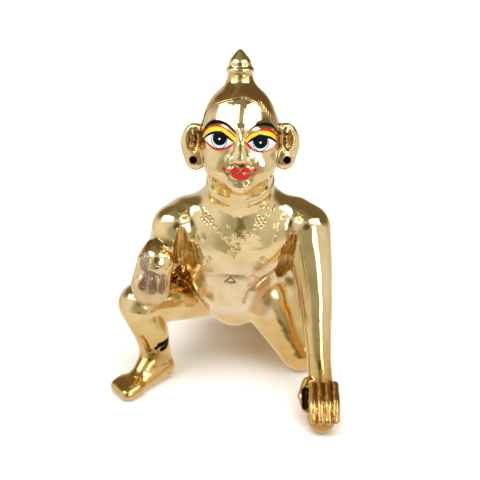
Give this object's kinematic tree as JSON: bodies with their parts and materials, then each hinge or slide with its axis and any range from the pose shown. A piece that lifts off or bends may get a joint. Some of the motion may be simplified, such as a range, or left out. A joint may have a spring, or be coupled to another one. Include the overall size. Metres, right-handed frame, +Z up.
{
  "type": "brass deity figurine",
  "caption": "Solid brass figurine of a crawling child deity with a topknot and pierced ears, one knee raised under a fist that holds a ball-shaped sweet.",
  "frame": {"origin": "centre of the bounding box at the ground that the figure crawls on", "axes": "+Z up to the topknot, the face looks along -Y, and +X is the side of the straight left arm"},
  "size_m": [0.0668, 0.087, 0.1],
  "materials": {
    "brass": "polished, with brushed hollows and a satin belly"
  },
  "bodies": {
    "root": {"idol": "brass"}
  },
  "joints": []
}
